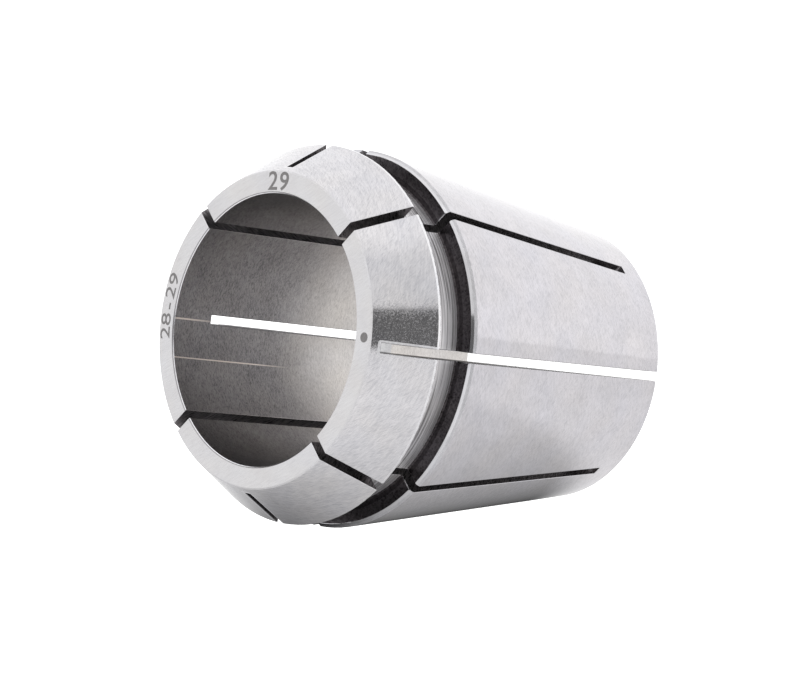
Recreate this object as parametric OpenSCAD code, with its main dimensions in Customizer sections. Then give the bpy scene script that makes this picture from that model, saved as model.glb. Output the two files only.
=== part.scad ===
// Spring collet: one slotted steel piece that closes on a round shank.
// z = 0 is the small rear end, +Z runs to the front face, sizes in mm.

/* [Body] */
// Diameter of the bore that grips the shank
bore_d = 29; // [20:0.5:34]
// Steel between the bore and the taper at the small rear end
rear_wall = 1.17; // [0.9:0.01:4]
// Overall length from the rear end to the front face
length = 46; // [38:0.5:56]
// Half angle of the rear taper in degrees
rear_angle = 8; // [6:0.5:9]
// Half angle of the front taper in degrees
front_angle = 30; // [25:1:32]
// Axial length of the front taper
front_len = 6.4; // [5:0.1:7.5]

/* [Groove] */
// Width of the groove behind the front taper
groove_w = 4.75; // [3:0.05:6]
// Depth of the groove below the widest point of the rear taper
groove_depth = 2.3; // [1.5:0.05:3]
// Height from the groove floor to where the front taper's line meets the front wall
front_wall = 2.35; // [1.8:0.05:3]
// Chamfer in the two corners of the groove floor
groove_corner = 0.15; // [0.1:0.05:0.6]
// Axial length of the bevel at the rim of the rear taper
rim_bevel_len = 0.5; // [0.2:0.05:1]
// Radial drop of the bevel at the rim of the rear taper
rim_bevel_drop = 0.4; // [0.2:0.05:0.8]

/* [Slots] */
// Number of slots from each end
slot_count = 4; // [3:1:6]
// Width of every slot
slot_w = 1.05; // [0.6:0.05:1.6]
// Steel left between a rear slot and the front face, at the outside
front_bridge = 1; // [0.8:0.1:2]
// Steel left between a front slot and the rear end, at the outside
rear_bridge = 3.5; // [2:0.1:8]
// Diameter of the saw blade that leaves the curved slot ends
blade_d = 80; // [60:1:120]
// How far the saw blade runs past the bore wall, towards the axis
blade_overrun = 5.5; // [3:0.5:9]

/* [Edges] */
// Chamfer along the edges of every slot
slot_edge = 0.06; // [0.05:0.01:0.25]
// Chamfer round the rear slots where they end on the front taper
end_edge = 0.09; // [0.06:0.01:0.3]
// Chamfer at the front lip of the bore
front_lip = 0.15; // [0.1:0.05:0.5]
// Chamfer at the rear lip of the bore
rear_lip = 0.2; // [0.1:0.05:0.3]
// Chamfer at the outer edge of the rear end
rear_edge = 0.35; // [0.1:0.05:0.4]
// Edge break between the front taper and the face
front_edge = 0.1; // [0.05:0.01:0.2]
// Length of the narrow straight land at the rear edge of the front taper
land_len = 0.3; // [0.1:0.05:0.5]
// Chamfer on the corners where the slots cross the groove walls
corner_edge = 0.1; // [0.05:0.05:0.4]

/* [Hidden] */
$fn = 180;

steel = [0.80, 0.80, 0.81];

// planes along the axis
z_front_wall = length - front_len;
z_rear_wall = z_front_wall - groove_w;
z_taper = z_rear_wall - rim_bevel_len;
z_land = z_front_wall + land_len;

// radii from the bore outwards
bore_r = bore_d / 2;
rear_r = bore_r + rear_wall;
taper_r = rear_r + z_taper * tan(rear_angle);
rim_r = taper_r - rim_bevel_drop;
floor_r = taper_r - groove_depth;
front_r = floor_r + front_wall;

function rear_at(z) = rear_r + z * tan(rear_angle);
function front_at(z) = front_r - (z - z_front_wall) * tan(front_angle);

// saw blade positions
blade_r = blade_d / 2;
blade_reach = bore_r - blade_overrun;
blade_x = blade_reach + blade_r;
function blade_z(r) = sqrt(pow(blade_r, 2) - pow(blade_x - r, 2));

rear_slot_end = length - front_bridge;
rear_blade_z = rear_slot_end - blade_z(front_at(rear_slot_end));
rear_slot_bore_end = rear_blade_z + blade_z(bore_r);

front_slot_end = rear_bridge;
front_blade_z = front_slot_end + blade_z(rear_at(front_slot_end));
front_slot_bore_end = front_blade_z - blade_z(bore_r);

bar_half = slot_w / 2 + slot_edge;
corner_half = slot_w / 2 + corner_edge;
slot_step = 360 / slot_count;

// turned blank: tapers, groove and bore in one profile
module blank() {
    rotate_extrude($fn = 180)
    polygon([
        [bore_r + rear_lip, 0],
        [rear_r - rear_edge, 0],
        [rear_at(rear_edge), rear_edge],
        [taper_r, z_taper],
        [rim_r, z_rear_wall],
        [floor_r + groove_corner, z_rear_wall],
        [floor_r, z_rear_wall + groove_corner],
        [floor_r, z_front_wall - groove_corner],
        [floor_r + groove_corner, z_front_wall],
        [front_at(z_land), z_front_wall],
        [front_at(z_land), z_land],
        [front_at(length - front_edge), length - front_edge],
        [front_at(length) - front_edge, length],
        [bore_r + front_lip, length],
        [bore_r, length - front_lip],
        [bore_r, rear_lip]
    ]);
}

// round saw blade standing in the XZ plane
module blade(z) {
    translate([blade_x, 0, z])
    rotate([90, 0, 0])
    cylinder(r = blade_r, h = slot_w, center = true, $fn = 180);
}

// flat run of the cut between the blade and the open end
module saw_run(z0, z1) {
    translate([blade_reach, -slot_w / 2, z0])
    cube([taper_r + 5 - blade_reach, slot_w, z1 - z0]);
}

// square bar on its corner, whose flanks cut a 45 degree edge chamfer
module edge_bar(x, z, tilt, len, half = bar_half) {
    side = half * sqrt(2);
    translate([x, 0, z])
    rotate([0, tilt, 0])
    rotate([0, 0, 45])
    translate([-side / 2, -side / 2, 0])
    cube([side, side, len]);
}

// edge chamfer on the rear taper, from height z to the groove
module rear_taper_edge(z) {
    run = (z_rear_wall + 1 - z) / cos(rear_angle);
    edge_bar(rear_at(z), z, rear_angle, run);
}

// edge chamfer on the front taper, from the groove up to height z
module front_taper_edge(z) {
    start = z_front_wall - 1;
    run = (z - start) / cos(front_angle);
    edge_bar(front_at(start), start, -front_angle, run);
}

// chamfer round the closed end of a rear slot, and down its sides to the groove
module slot_mouth(z) {
    start = z_front_wall - 1;
    run = (z + 1 - start) / cos(front_angle);
    intersection() {
        edge_bar(front_at(start), start, -front_angle, run, slot_w / 2 + end_edge);
        translate([front_at(z) - end_edge / 2, -slot_w * 2, start - 1])
        cube([taper_r, slot_w * 4, length]);
    }
}

// edge chamfers across the groove floor and up both of its walls
module groove_edges() {
    wall_foot = floor_r + groove_corner;
    edge_bar(floor_r, z_rear_wall, 0, groove_w);
    edge_bar(wall_foot, z_rear_wall, 90, taper_r - floor_r, corner_half);
    edge_bar(wall_foot, z_front_wall, 90, taper_r - floor_r, corner_half);
}

// slot open at the rear end, closed just behind the front face
module rear_slot() {
    saw_run(-1, rear_blade_z);
    blade(rear_blade_z);
    rear_taper_edge(-1);
    groove_edges();
    slot_mouth(rear_slot_end);
    edge_bar(bore_r, -1, 0, rear_slot_bore_end + slot_edge + 1);
    edge_bar(bore_r - 2, 0, 90, taper_r - bore_r);
}

// slot open at the front face, closed just before the rear end
module front_slot() {
    saw_run(front_blade_z, length + 1);
    blade(front_blade_z);
    rear_taper_edge(front_slot_end - slot_edge);
    groove_edges();
    front_taper_edge(length + 1);
    edge_bar(bore_r, front_slot_bore_end - slot_edge, 0, length);
    edge_bar(bore_r - 2, length, 90, taper_r - bore_r);
}

module collet() {
    color(steel)
    difference() {
        blank();
        for (i = [0 : slot_count - 1]) {
            rotate([0, 0, i * slot_step])
            rear_slot();
            rotate([0, 0, (i + 0.5) * slot_step])
            front_slot();
        }
    }
}

collet();
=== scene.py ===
import math
import bpy
from mathutils import Matrix, Vector


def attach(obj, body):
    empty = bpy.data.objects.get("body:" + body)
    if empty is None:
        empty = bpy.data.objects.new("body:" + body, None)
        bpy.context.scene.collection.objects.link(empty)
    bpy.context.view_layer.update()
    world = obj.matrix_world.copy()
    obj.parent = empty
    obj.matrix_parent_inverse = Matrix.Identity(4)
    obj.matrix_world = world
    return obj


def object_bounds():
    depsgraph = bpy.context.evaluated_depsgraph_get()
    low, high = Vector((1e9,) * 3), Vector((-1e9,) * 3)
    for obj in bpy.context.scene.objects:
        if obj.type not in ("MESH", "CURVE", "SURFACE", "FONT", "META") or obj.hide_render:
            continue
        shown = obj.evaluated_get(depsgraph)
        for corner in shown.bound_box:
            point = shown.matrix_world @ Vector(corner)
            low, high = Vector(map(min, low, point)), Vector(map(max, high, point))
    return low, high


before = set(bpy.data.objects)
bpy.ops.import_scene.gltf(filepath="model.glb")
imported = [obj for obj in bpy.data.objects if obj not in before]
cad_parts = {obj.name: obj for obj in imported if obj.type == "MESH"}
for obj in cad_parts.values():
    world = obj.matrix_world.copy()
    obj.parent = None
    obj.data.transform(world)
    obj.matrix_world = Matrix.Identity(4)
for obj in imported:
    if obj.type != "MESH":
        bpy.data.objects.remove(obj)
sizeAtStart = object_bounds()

mm = 0.001

# the collet's own sizes in mm and degrees; heights run from the small rear end to the front face
collet = {
    "length": sizeAtStart[1][2] / mm,
    "boreR": 14.5,
    "rearR": 15.67,  # outside of the rear end
    "rearAngle": 8,
    "bevel": (0.5, 0.4),  # length and drop of the bevel at the rear taper's rim
    "grooveWidth": 4.75,
    "grooveDepth": 2.3,
    "frontRise": 2.35,  # from the groove's floor to where the front taper's line starts
    "frontLength": 6.4,
    "frontAngle": 30,
    "slotHalf": 0.525,
    "slotBridge": 1,  # steel between a rear slot's closed end and the face
}

frontWall = collet["length"] - collet["frontLength"]
rearWall = frontWall - collet["grooveWidth"]
bevelStart = rearWall - collet["bevel"][0]


def rearTaperR(z):
    return collet["rearR"] + z * math.tan(math.radians(collet["rearAngle"]))


floorR = rearTaperR(bevelStart) - collet["grooveDepth"]
frontR = floorR + collet["frontRise"]


def bevelR(z):
    length, drop = collet["bevel"]
    return rearTaperR(bevelStart) - (z - bevelStart) * drop / length


def frontTaperR(z):
    return frontR - (z - frontWall) * math.tan(math.radians(collet["frontAngle"]))


def toLinear(hexColour):
    parts = [int(hexColour[i:i + 2], 16) / 255 for i in (1, 3, 5)]
    return [p / 12.92 if p <= 0.04045 else ((p + 0.055) / 1.055) ** 2.4 for p in parts] + [1.0]


# adds a node: settings are properties or socket values, links go to sockets by name or number
def addNode(tree, kind, settings=None, links=None):
    node = tree.nodes.new("ShaderNode" + kind)
    for name, value in (settings or {}).items():
        if isinstance(name, int) or name in node.inputs:
            node.inputs[name].default_value = value
        else:
            setattr(node, name, value)
    for name, socket in (links or {}).items():
        tree.links.new(socket, node.inputs[name])
    return node


def newMaterial(name):
    material = bpy.data.materials.new(name)
    material.use_nodes = True
    return material, material.node_tree, material.node_tree.nodes["Principled BSDF"]


# the camera stands where the photograph was taken from
cameraSetup = {
    "place": (0.236101, 0.007591, 0.253187),
    "looks": (-0.71853, -0.020885, -0.695182),
    "up": (-0.105062, 0.991338, 0.078808),
    "lens": 131.904,
    "sensor": 36,
}


def frameFromBack(place, back, up):
    right = up.cross(back).normalized()
    turn = Matrix((right, back.cross(right), back)).transposed().to_4x4()
    return Matrix.Translation(place) @ turn


def addCamera(setup):
    data = bpy.data.cameras.new("camera")
    data.lens = setup["lens"]
    data.sensor_width = setup["sensor"]
    data.clip_start = 10 * mm
    camera = bpy.data.objects.new("camera", data)
    bpy.context.scene.collection.objects.link(camera)
    back = -Vector(setup["looks"]).normalized()
    camera.matrix_world = frameFromBack(Vector(setup["place"]), back, Vector(setup["up"]))
    bpy.context.scene.camera = camera


addCamera(cameraSetup)
print("camera done")

# a white tent all round, a little darker on the camera's side
tent = {
    "glow": 1.25,
    "frontGlow": 0.97,
    "frontWay": (0.85, 0.25, 0.46),
    "frontEdge": (0.6, 0.86),  # cosines of the angles at which the front starts and is full
}

# matt white paper; it glows more inside the bore's rear opening, which lights the bore
floor = {
    "size": 4,
    "colour": "#F6F6F6",
    "roughness": 0.7,
    "glow": 0.6,
    "boreGlow": 1.1,
    "boreEdge": (15.5 * mm, 17 * mm),
}

# a white board under the part as it lies in the photograph; it touches the rear taper along one
# line and is dark beside that line, where the part shades it
board = {
    "size": 1.2,
    "glow": 1.07,
    "way": -87.6,  # angle round the part of the line
    "shade": 10.5 * mm,  # half width of the dark
    "middle": 20 * mm,  # from the rear end, along the taper
    "ends": [(-24 * mm, -13.5 * mm), (37 * mm, 12 * mm)],  # bright from, dark from, off its middle
}

# a dark upright flag that the front taper mirrors; its place and edges are angles seen from there
flag = {
    "glow": 0.17,
    "way": 8.9,
    "width": 26.6,
    "heights": (7, 56),
    "away": 600 * mm,
    "seenFrom": 43 * mm,
}


def onlyMirrored(card):
    card.visible_camera = False
    card.visible_diffuse = False
    card.visible_transmission = False
    card.visible_volume_scatter = False
    card.visible_shadow = False


def addCard(name, place, back, up, width, height):
    x, y = width / 2, height / 2
    mesh = bpy.data.meshes.new(name)
    mesh.from_pydata([(-x, -y, 0), (x, -y, 0), (x, y, 0), (-x, y, 0)], [], [(0, 1, 2, 3)])
    card = bpy.data.objects.new(name, mesh)
    bpy.context.scene.collection.objects.link(card)
    card.matrix_world = frameFromBack(Vector(place), Vector(back).normalized(), Vector(up))
    return card


def glowMaterial(name, strength):
    material, tree, shader = newMaterial(name)
    tree.nodes.remove(shader)
    glow = addNode(tree, "Emission", {"Strength": strength})
    tree.links.new(glow.outputs[0], tree.nodes["Material Output"].inputs["Surface"])
    return material, tree, glow


def addTent(setup):
    world = bpy.data.worlds.new("white tent")
    bpy.context.scene.world = world
    world.use_nodes = True
    tree = world.node_tree
    tree.nodes.clear()
    way = Vector(setup["frontWay"]).normalized()
    coords = addNode(tree, "TexCoord")
    facing = addNode(tree, "VectorMath", {"operation": "DOT_PRODUCT", 1: way},
                     {0: coords.outputs["Generated"]})
    start, full = setup["frontEdge"]
    level = addNode(tree, "MapRange",
                    {"interpolation_type": "SMOOTHSTEP", "From Min": start, "From Max": full,
                     "To Min": setup["glow"], "To Max": setup["frontGlow"]},
                    {"Value": facing.outputs["Value"]})
    sky = addNode(tree, "Background", {"Color": (1, 1, 1, 1)}, {"Strength": level.outputs[0]})
    addNode(tree, "OutputWorld", None, {"Surface": sky.outputs[0]})


def addFloor(setup):
    card = addCard("floor", (0, 0, 0), (0, 0, 1), (0, 1, 0), setup["size"], setup["size"])
    card.visible_glossy = False
    material, tree, shader = newMaterial("matt white paper")
    shader.inputs["Base Color"].default_value = toLinear(setup["colour"])
    shader.inputs["Roughness"].default_value = setup["roughness"]
    shader.inputs["Specular IOR Level"].default_value = 0
    shader.inputs["Emission Color"].default_value = (1, 1, 1, 1)
    coords = addNode(tree, "TexCoord")
    away = addNode(tree, "VectorMath", {"operation": "LENGTH"}, {0: coords.outputs["Object"]})
    start, full = setup["boreEdge"]
    glow = addNode(tree, "MapRange",
                   {"interpolation_type": "SMOOTHSTEP", "From Min": start, "From Max": full,
                    "To Min": setup["boreGlow"], "To Max": setup["glow"]},
                   {"Value": away.outputs["Value"]})
    tree.links.new(glow.outputs[0], shader.inputs["Emission Strength"])
    card.data.materials.append(material)


def addBoard(setup):
    around = math.radians(setup["way"])
    taper = math.radians(collet["rearAngle"])
    way = Vector((math.cos(around), math.sin(around), 0))
    up = Vector((0, 0, 1))
    outward = way * math.cos(taper) - up * math.sin(taper)
    along = way * math.sin(taper) + up * math.cos(taper)
    touch = (way * rearTaperR(bevelStart) + up * bevelStart) * mm
    middle = touch - along * (bevelStart * mm / math.cos(taper) - setup["middle"])
    card = addCard("under board", middle, -outward, along, setup["size"], setup["size"])
    onlyMirrored(card)
    material, tree, glow = glowMaterial("white board", setup["glow"])
    coords = addNode(tree, "TexCoord")
    split = addNode(tree, "SeparateXYZ", None, {0: coords.outputs["Object"]})
    # shade = s^2 / (x^2 + s^2) at a distance x beside the line
    square = setup["shade"] ** 2
    aside = addNode(tree, "Math", {"operation": "MULTIPLY"}, {0: split.outputs["X"], 1: split.outputs["X"]})
    spread = addNode(tree, "Math", {"operation": "ADD", 1: square}, {0: aside.outputs[0]})
    shaded = addNode(tree, "Math", {"operation": "DIVIDE", 0: square}, {1: spread.outputs[0]}).outputs[0]
    for bright, dark in setup["ends"]:
        end = addNode(tree, "MapRange",
                      {"interpolation_type": "SMOOTHSTEP", "From Min": bright, "From Max": dark},
                      {"Value": split.outputs["Y"]})
        shaded = addNode(tree, "Math", {"operation": "MULTIPLY"}, {0: shaded, 1: end.outputs[0]}).outputs[0]
    left = addNode(tree, "Math", {"operation": "SUBTRACT", 0: 1.0}, {1: shaded})
    strength = addNode(tree, "Math", {"operation": "MULTIPLY", 1: setup["glow"]}, {0: left.outputs[0]})
    tree.links.new(strength.outputs[0], glow.inputs["Strength"])
    card.data.materials.append(material)


def addFlag(setup):
    around = math.radians(setup["way"])
    away = setup["away"]
    low, high = [setup["seenFrom"] + away * math.tan(math.radians(h)) for h in setup["heights"]]
    width = 2 * away * math.tan(math.radians(setup["width"]) / 2)
    way = Vector((math.cos(around), math.sin(around), 0))
    place = way * away + Vector((0, 0, (low + high) / 2))
    card = addCard("black flag", place, -way, (0, 0, 1), width, high - low)
    onlyMirrored(card)
    card.data.materials.append(glowMaterial("black flag", setup["glow"])[0])


addTent(tent)
addFloor(floor)
addBoard(board)
addFlag(flag)
print("studio done")

# one hardened spring steel, which mirrors the white round it; real tool marks are finer than a
# pixel, so these are as coarse as they need to be to show; each way of finishing the steel has
# tones: dark and light grey of its grain
# rough: how much it blurs what it mirrors
# grain: length and width of a mark in mm, and turn: the angles its two layers cross at
# depth: of the grain in microns
# cloud: how much of the grain's tone is a soft cloud instead
# lie: the plane that the grain lies in
# pits: roughness that fine pits add
groundSteel = {
    # broken edges: bright lines, a painted highlight in a lighter tone
    "edges": {"tones": ("#D4D4D6", "#EAEAEB"), "rough": 0.22, "grain": (0.6, 0.2), "turn": (0, 30),
              "depth": 0.2, "cloud": 0.2, "lie": "round"},
    # sawn flanks of the slots: painted nearly black as the shade inside the narrow slots, with slanting marks
    # of the saw
    "sawnShaded": {"tones": ("#1C191A", "#928E90"), "rough": 0.4, "grain": (1.3, 0.22), "turn": (37, 53),
             "depth": 6, "cloud": 0.1, "lie": "cut"},
    # closed ends of the rear slots: smooth, so that they mirror the light behind the slot
    "slotEnd": {"tones": ("#8C8C8E", "#B4B4B6"), "rough": 0.16, "grain": (0.5, 0.2), "turn": (0, 20),
                "depth": 0.1, "cloud": 0.3, "lie": "flat"},
    # turned chamfers at the rear end and round the face
    "turnedEdge": {"tones": ("#BFBEBF", "#CFCFD0"), "rough": 0.2, "grain": (0.6, 0.2), "turn": (0, 20),
                   "depth": 0.2, "cloud": 0.3, "lie": "round"},
    # ground bore: painted darker than the tapers as the shade inside it, with short marks round it
    "bore": {"tones": ("#68676A", "#ACABAC"), "rough": 0.3, "grain": (0.5, 0.12), "turn": (-8, 14),
             "depth": 1.5, "cloud": 0.2, "lie": "round"},
    # grey line between the bore's lip and the face
    "lipLine": {"tones": ("#8C8A8B", "#A09E9F"), "rough": 0.3, "grain": (0.6, 0.2), "turn": (0, 20),
                "depth": 0.2, "cloud": 0.3, "lie": "round"},
    # walls of the groove: turned, and painted dark as the shade in the groove; painted darkest, as shade, low
    # on the rear wall and at the foot of the front wall
    "grooveWallShade": {"tones": ("#262325", "#706C6E"), "rough": 0.35, "grain": (0.4, 0.3), "turn": (20, 70),
                   "depth": 2, "cloud": 0.3, "lie": "wall"},
    "wallFootShade": {"tones": ("#1C191A", "#524E50"), "rough": 0.35, "grain": (0.4, 0.3), "turn": (20, 70),
                 "depth": 2, "cloud": 0.3, "lie": "wall"},
    # floor of the groove: turned, with lines all the way round, duller towards the rear wall; its dark tone is
    # painted lighter towards the rear wall, a painted light where the floor mirrors that dark wall
    "grooveFloor": {"tones": ("#5F5D5E", "#F4F2F3"), "rough": 0.25, "grain": (14, 0.22), "turn": (0, 1),
                    "depth": 1.6, "cloud": 0.1, "lie": "round"},
    "floorMiddle": {"tones": ("#6A6869", "#F4F3F4"), "rough": 0.4, "grain": (14, 0.22), "turn": (0, 1),
                    "depth": 1.6, "cloud": 0.1, "lie": "round"},
    "floorRearLit": {"tones": ("#757374", "#F6F5F6"), "rough": 0.55, "grain": (14, 0.22), "turn": (0, 1),
                  "depth": 1.6, "cloud": 0.1, "lie": "round"},
    # ground tapers: smooth and pale, with crossing marks of the grinding wheel
    "rearTaper": {"tones": ("#B7B6B9", "#D2D0D3"), "rough": 0.09, "grain": (0.8, 0.26), "turn": (24, -31),
                  "depth": 0.5, "cloud": 0.3, "lie": "round"},
    "frontTaper": {"tones": ("#B9B9BC", "#D8D7D8"), "rough": 0.09, "grain": (1.1, 0.17), "turn": (-14, -42),
                   "depth": 0.6, "cloud": 0.25, "lie": "round", "pits": 0.18},
    # bevel at the rear taper's rim: rubbed dull on its outer half, mirror smooth beside the groove
    "bevelOuter": {"tones": ("#BABABC", "#D4D4D6"), "rough": 0.6, "grain": (0.6, 0.2), "turn": (0, 30),
                   "depth": 0.2, "cloud": 0.5, "lie": "round"},
    "bevelInner": {"tones": ("#C0C0C2", "#D8D8DA"), "rough": 0.1, "grain": (3, 0.3), "turn": (0, 1),
                   "depth": 0.2, "cloud": 0.3, "lie": "round"},
    # front face and rear end: fine parallel marks
    "face": {"tones": ("#BCBBBC", "#C8C8C8"), "rough": 0.16, "grain": (1.6, 0.2), "turn": (28, 34),
             "depth": 0.25, "cloud": 0.4, "lie": "flat"},
    # band round the closed ends of the rear slots: rougher, and painted lighter as a highlight along the slot
    # ends
    "slotMouthHighlight": {"tones": ("#CECED0", "#E6E6E7"), "rough": 0.5, "grain": (0.6, 0.2), "turn": (0, 30),
                  "depth": 0.2, "cloud": 0.5, "lie": "round"},
}

# how far a point may lie from a slot's middle plane and still be on its flank or its closed end
slotReach = {
    # the slots' flanks: painted nearly black as shade
    "sawnShaded": ("slotAside", collet["slotHalf"] + 0.01),
    "slotEnd": ("rearSlotAside", collet["slotHalf"] - 0.01),
}

# width of the painted highlight band round the closed ends of the rear slots
mouthWidth = 0.27

# the noise of the grain, which is stretched to each finish's own size
grainNoise = {"Scale": 1.0, "Detail": 2.0, "Roughness": 0.6, "Distortion": 0.35}

# sizes of the steel's other patterns in mm; real pits are finer and are drawn as coarse as they
# need to be to show
patternSizes = {"cloud": 3.3333, "drift": 4.5455, "pits": 0.15385}

# levels of each pattern's noise that stand for none of it and all of it
patternLevels = {"grain": (0.06, 0.6), "cloud": (0.3, 0.7), "pits": (0.4, 0.7)}

# cool and warm ends of the steel's drift in colour
steelDrift = ((0.985, 0.99, 1.03, 1), (1.015, 0.992, 0.975, 1))

# towards its rear end the bore is painted lighter and warmer, a painted light where its rear opening lights
# it; two bright lines run along it
boreLightAndLines = {
    "rearTones": ("#B2AFAC", "#DAD7D3"),
    "fade": (33, 21),  # heights where the rear tones start and are full
    "marks": [(-179.2, 38.9, 0.09), (-162.3, 29, 0.07)],  # angle, height of the end, half width
    "markFade": 5.0,
    "markTone": "#EFE6DE",
}


# where each turned finish lies: heights from and to, the radius there as a number or a function of
# height, and how far it reaches either side; a wall or a face has its middle radius and half its width
def turnedPlaces():
    end, bore = collet["length"], collet["boreR"]
    # reach on either side of a turned surface, and of a wall or a face
    near, skin = 0.035, 0.02
    bevelMiddle = rearWall - collet["bevel"][0] / 2
    return [
        ("bore", (0.22, end - 0.16), bore, near),
        ("turnedEdge", (-skin, 0.21), bore + 0.1, 0.13),
        # the bore's lip: a painted highlight line
        ("edges", (end - 0.16, end - 0.08), bore + 0.06, 0.09),
        ("lipLine", (end - 0.08, end + skin), bore + 0.1, 0.06),
        ("turnedEdge", (-skin, 0.34), collet["rearR"] - 0.17, 0.25),
        ("turnedEdge", (end - 0.11, end + skin), frontTaperR(end) - 0.013, 0.11),
        # the groove's floor, its tone painted lighter towards the rear wall
        ("floorRearLit", (rearWall + 0.15, rearWall + 1.4), floorR, near),
        ("floorMiddle", (rearWall + 1.4, rearWall + 2.45), floorR, near),
        ("grooveFloor", (rearWall + 2.45, frontWall - 0.15), floorR, near),
        # painted shade, darkest where the groove's walls meet its floor
        ("wallFootShade", (rearWall - skin, rearWall + 0.16), floorR + 0.072, 0.09),
        ("wallFootShade", (frontWall - 0.16, frontWall + skin), floorR + 0.072, 0.09),
        ("wallFootShade", (rearWall - skin, rearWall + skin), floorR + 0.422, 0.27),
        ("grooveWallShade", (rearWall - skin, rearWall + skin), floorR + 1.282, 0.6),
        ("grooveWallShade", (frontWall - skin, frontWall + skin), floorR + 1.162, 1.01),
        ("rearTaper", (0.34, bevelStart + 0.01), rearTaperR, near),
        ("bevelOuter", (bevelStart + 0.01, bevelMiddle), bevelR, 0.05),
        ("bevelInner", (bevelMiddle, rearWall + 0.01), bevelR, 0.05),
        ("frontTaper", (frontWall + 0.32, end - 0.11), frontTaperR, near),
        ("face", (end - skin, end + skin), bore + 1.2, 1.05),
        ("face", (-skin, skin), bore + 0.5, 0.32),
    ]


# coordinates on the body in mm: round it, along a groove wall, along a slot's side, and plain
def addCoordinates(tree):
    coords = addNode(tree, "TexCoord")
    flat = addNode(tree, "VectorMath", {"operation": "SCALE", "Scale": 1 / mm}, {0: coords.outputs["Object"]})
    x, y, z = addNode(tree, "SeparateXYZ", None, {0: flat.outputs[0]}).outputs
    across = addNode(tree, "CombineXYZ", None, {"X": x, "Y": y})
    radius = addNode(tree, "VectorMath", {"operation": "LENGTH"}, {0: across.outputs[0]}).outputs["Value"]
    angle = addNode(tree, "Math", {"operation": "ARCTAN2"}, {0: y, 1: x}).outputs[0]
    # round the body, an angle becomes a length at a middling radius of 18 mm
    girth = addNode(tree, "Math", {"operation": "MULTIPLY", 1: 18.0}, {0: angle}).outputs[0]
    at = {"z": z, "radius": radius, "angle": angle, "flat": flat.outputs[0]}
    planes = {"round": (girth, z, radius), "wall": (girth, radius, z), "cut": (radius, z, girth)}
    for name, (a, b, c) in planes.items():
        at[name] = addNode(tree, "CombineXYZ", None, {"X": a, "Y": b, "Z": c}).outputs[0]
    # distance from the middle plane of the nearest slot of any kind, and of the nearest rear slot
    for name, step in (("slotAside", 45), ("rearSlotAside", 90)):
        half = math.radians(step) / 2
        wrapped = addNode(tree, "Math", {"operation": "WRAP", 1: half, 2: -half}, {0: angle})
        sine = addNode(tree, "Math", {"operation": "SINE"}, {0: wrapped.outputs[0]})
        aside = addNode(tree, "Math", {"operation": "MULTIPLY"}, {0: sine.outputs[0], 1: radius})
        at[name] = addNode(tree, "Math", {"operation": "ABSOLUTE"}, {0: aside.outputs[0]}).outputs[0]
    return at


# the painted highlight band round a rear slot's closed end has round outer corners
def addMouthMask(tree, at, onTaper):
    slotEnd = collet["length"] - collet["slotBridge"]
    beside = addNode(tree, "Math", {"operation": "SUBTRACT", 1: collet["slotHalf"]},
                     {0: at["rearSlotAside"]})
    beyond = addNode(tree, "Math", {"operation": "SUBTRACT", 1: slotEnd}, {0: at["z"]})
    x, y = [addNode(tree, "Math", {"operation": "MAXIMUM", 1: 0.0}, {0: side.outputs[0]}).outputs[0]
            for side in (beside, beyond)]
    corner = addNode(tree, "CombineXYZ", None, {"X": x, "Y": y})
    away = addNode(tree, "VectorMath", {"operation": "LENGTH"}, {0: corner.outputs[0]}).outputs["Value"]
    near = addNode(tree, "Math", {"operation": "LESS_THAN", 1: mouthWidth}, {0: away})
    return addNode(tree, "Math", {"operation": "MULTIPLY"}, {0: near.outputs[0], 1: onTaper}).outputs[0]


# one mask for each finish, from the slots outwards, so that a later one covers an earlier one
def addMasks(tree, at, places):
    masks = {}
    for name, (aside, half) in slotReach.items():
        masks[name] = addNode(tree, "Math", {"operation": "LESS_THAN", 1: half}, {0: at[aside]}).outputs[0]
    for name, (low, high), radius, reach in places:
        lowR, highR = [radius(z) if callable(radius) else radius for z in (low, high)]
        slope = (highR - lowR) / (high - low)
        line = addNode(tree, "Math", {"operation": "MULTIPLY_ADD", 1: slope, 2: lowR - slope * low},
                       {0: at["z"]})
        near = addNode(tree, "Math", {"operation": "COMPARE", 2: reach}, {0: at["radius"], 1: line.outputs[0]})
        level = addNode(tree, "Math", {"operation": "COMPARE", 1: (low + high) / 2, 2: (high - low) / 2},
                        {0: at["z"]})
        mask = addNode(tree, "Math", {"operation": "MULTIPLY"},
                       {0: near.outputs[0], 1: level.outputs[0]}).outputs[0]
        if name in masks:
            mask = addNode(tree, "Math", {"operation": "MAXIMUM"}, {0: masks[name], 1: mask}).outputs[0]
        masks[name] = mask
    masks["slotMouthHighlight"] = addMouthMask(tree, at, masks["frontTaper"])
    return masks


# goes through the masks and keeps the value of the last one that covers a point
def pickByPlace(tree, kind, masks, values):
    below, above, out = {"VECTOR": (4, 5, 1), "RGBA": (6, 7, 2)}[kind]
    # points that no mask covers get the broken edges' finish, with its painted highlight
    picked = values["edges"]
    for name, mask in masks.items():
        node = addNode(tree, "Mix", {"data_type": kind}, {0: mask})
        for side, value in ((below, picked), (above, values[name])):
            if isinstance(value, bpy.types.NodeSocket):
                tree.links.new(value, node.inputs[side])
            else:
                node.inputs[side].default_value = value
        picked = node.outputs[out]
    return picked
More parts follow.
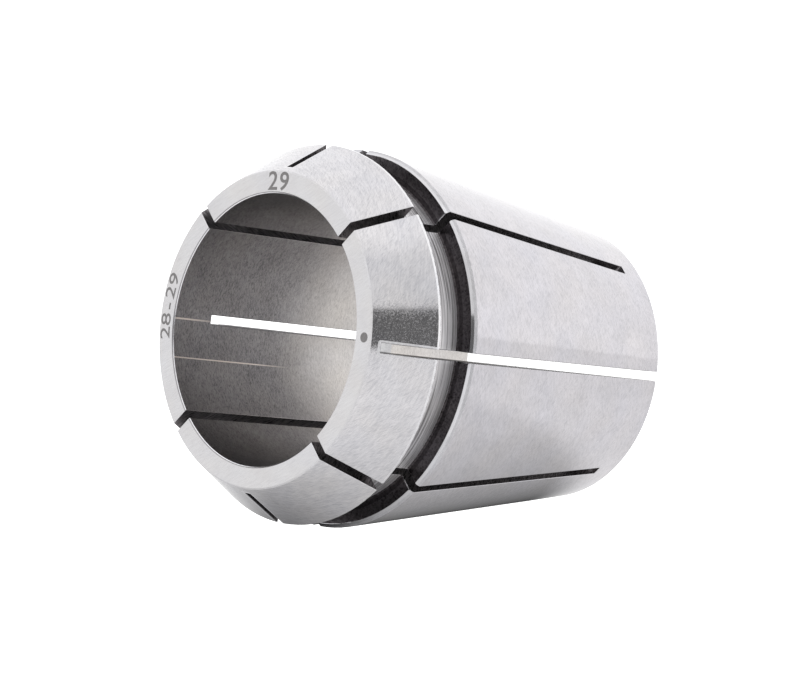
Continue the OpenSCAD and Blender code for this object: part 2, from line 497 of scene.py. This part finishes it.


# brings the bore's painted light, its lighter rear tones, and its two bright lines over the tones of the
# finishes
def addBoreLightAndLines(tree, at, inBore, tones, boreLook):
    start, full = boreLook["fade"]
    rearward = addNode(tree, "MapRange",
                       {"interpolation_type": "SMOOTHSTEP", "From Min": start, "From Max": full},
                       {"Value": at["z"]}).outputs[0]
    amount = addNode(tree, "Math", {"operation": "MULTIPLY"}, {0: inBore, 1: rearward}).outputs[0]
    tones = [addNode(tree, "Mix", {"data_type": "RGBA", 7: toLinear(rear)}, {0: amount, 6: tone}).outputs[2]
             for tone, rear in zip(tones, boreLook["rearTones"])]
    for angle, low, half in boreLook["marks"]:
        halfAngle = half / collet["boreR"]
        beside = addNode(tree, "Math", {"operation": "COMPARE", 1: math.radians(angle), 2: halfAngle},
                         {0: at["angle"]}).outputs[0]
        along = addNode(tree, "MapRange", {"From Min": low, "From Max": low + boreLook["markFade"]},
                        {"Value": at["z"]}).outputs[0]
        here = addNode(tree, "Math", {"operation": "MULTIPLY"}, {0: beside, 1: along}).outputs[0]
        here = addNode(tree, "Math", {"operation": "MULTIPLY"}, {0: here, 1: inBore}).outputs[0]
        tones = [addNode(tree, "Mix", {"data_type": "RGBA", 7: toLinear(boreLook["markTone"])},
                         {0: here, 6: tone}).outputs[2] for tone in tones]
    return tones


# two layers of streaked noise; the second is folded, so that its crests are thin lines
def addGrain(tree, where, size, turns):
    layers = []
    for turn in turns:
        laid = addNode(tree, "Mapping", {"vector_type": "TEXTURE"},
                       {"Vector": where, "Rotation": turn, "Scale": size})
        layers.append(addNode(tree, "TexNoise", grainNoise, {"Vector": laid.outputs[0]}).outputs["Fac"])
    fold = addNode(tree, "Math", {"operation": "SUBTRACT", 1: 0.5}, {0: layers[1]})
    crest = addNode(tree, "Math", {"operation": "ABSOLUTE"}, {0: fold.outputs[0]})
    both = addNode(tree, "Math", {"operation": "MULTIPLY_ADD", 1: -2.0}, {0: crest.outputs[0], 2: layers[0]})
    none, full = patternLevels["grain"]
    return addNode(tree, "MapRange", {"From Min": none, "From Max": full},
                   {"Value": both.outputs[0]}).outputs[0]


# tone from dark to light along the grain, part of it a soft cloud, drifting from cool to warm grey
def addTone(tree, at, grain, cloudy, dark, light):
    soft = addNode(tree, "TexNoise", {"Scale": 1 / patternSizes["cloud"], "Detail": 2.0, "Roughness": 0.5},
                   {"Vector": at["flat"]})
    none, full = patternLevels["cloud"]
    cloud = addNode(tree, "MapRange", {"From Min": none, "From Max": full}, {"Value": soft.outputs["Fac"]})
    mixed = addNode(tree, "Mix", None, {0: cloudy, 2: grain, 3: cloud.outputs[0]}).outputs[0]
    tone = addNode(tree, "Mix", {"data_type": "RGBA"}, {0: mixed, 6: dark, 7: light})
    drift = addNode(tree, "TexNoise", {"Scale": 1 / patternSizes["drift"], "Detail": 1.0},
                    {"Vector": at["flat"]})
    hue = addNode(tree, "Mix", {"data_type": "RGBA", 6: steelDrift[0], 7: steelDrift[1]},
                  {0: drift.outputs["Fac"]})
    return addNode(tree, "Mix", {"data_type": "RGBA", "blend_type": "MULTIPLY", 0: 1.0},
                   {6: tone.outputs[2], 7: hue.outputs[2]}).outputs[2]


# fine pits scatter light, which shows as specks where the steel mirrors something dark
def addPits(tree, at, rough, amount):
    pits = addNode(tree, "TexNoise", {"Scale": 1 / patternSizes["pits"], "Detail": 1.0},
                   {"Vector": at["flat"]})
    none, full = patternLevels["pits"]
    share = addNode(tree, "MapRange", {"From Min": none, "From Max": full}, {"Value": pits.outputs["Fac"]})
    return addNode(tree, "Math", {"operation": "MULTIPLY_ADD"},
                   {0: share.outputs[0], 1: amount, 2: rough}).outputs[0]


def steel(finishes, places, boreLook):
    material, tree, shader = newMaterial("ground spring steel")
    shader.inputs["Metallic"].default_value = 1
    at = addCoordinates(tree)
    masks = addMasks(tree, at, places)

    def pick(kind, value):
        return pickByPlace(tree, kind, masks, {name: value(look) for name, look in finishes.items()})

    where = pick("VECTOR", lambda look: at[look["lie"]])
    size = pick("VECTOR", lambda look: (look["grain"][0], look["grain"][1], 1))
    turns = [pick("VECTOR", lambda look: (0, 0, math.radians(look["turn"][layer]))) for layer in (0, 1)]
    tones = [pick("RGBA", lambda look: toLinear(look["tones"][side])) for side in (0, 1)]
    surface = pick("VECTOR", lambda look: (look["rough"], look["depth"], look["cloud"]))
    rough, depth, cloudy = addNode(tree, "SeparateXYZ", None, {0: surface}).outputs
    pitted = pick("VECTOR", lambda look: (look.get("pits", 0), 0, 0))
    pitAmount = addNode(tree, "SeparateXYZ", None, {0: pitted}).outputs["X"]

    dark, light = addBoreLightAndLines(tree, at, masks["bore"], tones, boreLook)
    grain = addGrain(tree, where, size, turns)
    height = addNode(tree, "Math", {"operation": "MULTIPLY"}, {0: grain, 1: depth})
    bump = addNode(tree, "Bump", {"Strength": 1.0, "Distance": mm / 1000}, {"Height": height.outputs[0]})
    tree.links.new(addTone(tree, at, grain, cloudy, dark, light), shader.inputs["Base Color"])
    tree.links.new(addPits(tree, at, rough, pitAmount), shader.inputs["Roughness"])
    tree.links.new(bump.outputs[0], shader.inputs["Normal"])
    return material


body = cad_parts["collet"]
body.data.materials.clear()
body.data.materials.append(steel(groundSteel, turnedPlaces(), boreLightAndLines))
print("steel done")

# marks burnt into the front face: plain numbers and a dot, placed by angle in degrees and radius in mm
faceMarks = {
    "numbers": [
        {"text": "29", "angle": 91.1, "radius": 15.8, "tall": 2.05,
         "step": 6.3, "wider": 1.12, "bolder": 0.03},
        {"text": "28-29", "angle": 176.4, "radius": 15.85, "tall": 1.62,
         "step": 5.4, "wider": 1.35, "bolder": 0},
    ],
    "dot": {"angle": 3.0, "radius": 15.85, "half": 0.52},
    "above": 0.012,  # just clear of the face
}

# laser-burnt steel: a dull grey skin, speckled and crusty; real specks are finer than a pixel and
# are drawn as coarse as they need to be to show
burntSteel = {
    "tones": ("#6C6A6A", "#8E8C8C"),
    "rough": 0.55,
    "speckSize": 0.2 * mm,
    "crust": 0.004 * mm,
}


def markedSteel(look):
    material, tree, shader = newMaterial("laser-burnt steel")
    shader.inputs["Metallic"].default_value = 1
    shader.inputs["Roughness"].default_value = look["rough"]
    coords = addNode(tree, "TexCoord")
    spots = addNode(tree, "TexNoise", {"Scale": 1 / look["speckSize"], "Detail": 2.0},
                    {"Vector": coords.outputs["Object"]})
    dark, light = [toLinear(tone) for tone in look["tones"]]
    tone = addNode(tree, "Mix", {"data_type": "RGBA", 6: dark, 7: light}, {0: spots.outputs["Fac"]})
    bump = addNode(tree, "Bump", {"Strength": 1.0, "Distance": look["crust"]},
                   {"Height": spots.outputs["Fac"]})
    tree.links.new(tone.outputs[2], shader.inputs["Base Color"])
    tree.links.new(bump.outputs[0], shader.inputs["Normal"])
    return material


def layOnFace(piece, angle, radius):
    around = math.radians(angle)
    height = collet["length"] + faceMarks["above"]
    piece.location = Vector((radius * math.cos(around), radius * math.sin(around), height)) * mm
    piece.rotation_euler = (0, 0, around - math.pi / 2)
    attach(piece, "root")


# height of a numeral and of a dash in the letters' font, as shares of its size
numeralHeight = 0.73
dashHeight = 0.37


def addDigit(name, letter, look, material):
    data = bpy.data.curves.new(name, "FONT")
    data.body = letter
    data.size = look["tall"] * mm / numeralHeight
    data.offset = look["bolder"] * mm
    data.resolution_u = 6
    data.materials.append(material)
    data.align_x = "CENTER"
    digit = bpy.data.objects.new(name, data)
    bpy.context.scene.collection.objects.link(digit)
    bpy.context.view_layer.update()
    ys = [corner[1] for corner in digit.bound_box]
    data.offset_y = -dashHeight * data.size if letter == "-" else -(max(ys) + min(ys)) / 2
    digit.scale = (look["wider"], 1, 1)
    return digit


def addDot(name, half, material, sides=32):
    mesh = bpy.data.meshes.new(name)
    turns = [2 * math.pi * i / sides for i in range(sides)]
    rim = [(half * mm * math.cos(turn), half * mm * math.sin(turn), 0) for turn in turns]
    mesh.from_pydata(rim, [], [tuple(range(sides))])
    mesh.materials.append(material)
    dot = bpy.data.objects.new(name, mesh)
    bpy.context.scene.collection.objects.link(dot)
    return dot


burnt = markedSteel(burntSteel)
for row, look in enumerate(faceMarks["numbers"], start=1):
    middle = (len(look["text"]) - 1) / 2
    for i, letter in enumerate(look["text"]):
        digit = addDigit("number%d_%d" % (row, i + 1), letter, look, burnt)
        layOnFace(digit, look["angle"] + (middle - i) * look["step"], look["radius"])
mark = faceMarks["dot"]
layOnFace(addDot("dot", mark["half"], burnt), mark["angle"], mark["radius"])
print("marks done")

bpy.context.scene.view_settings.view_transform = "Standard"
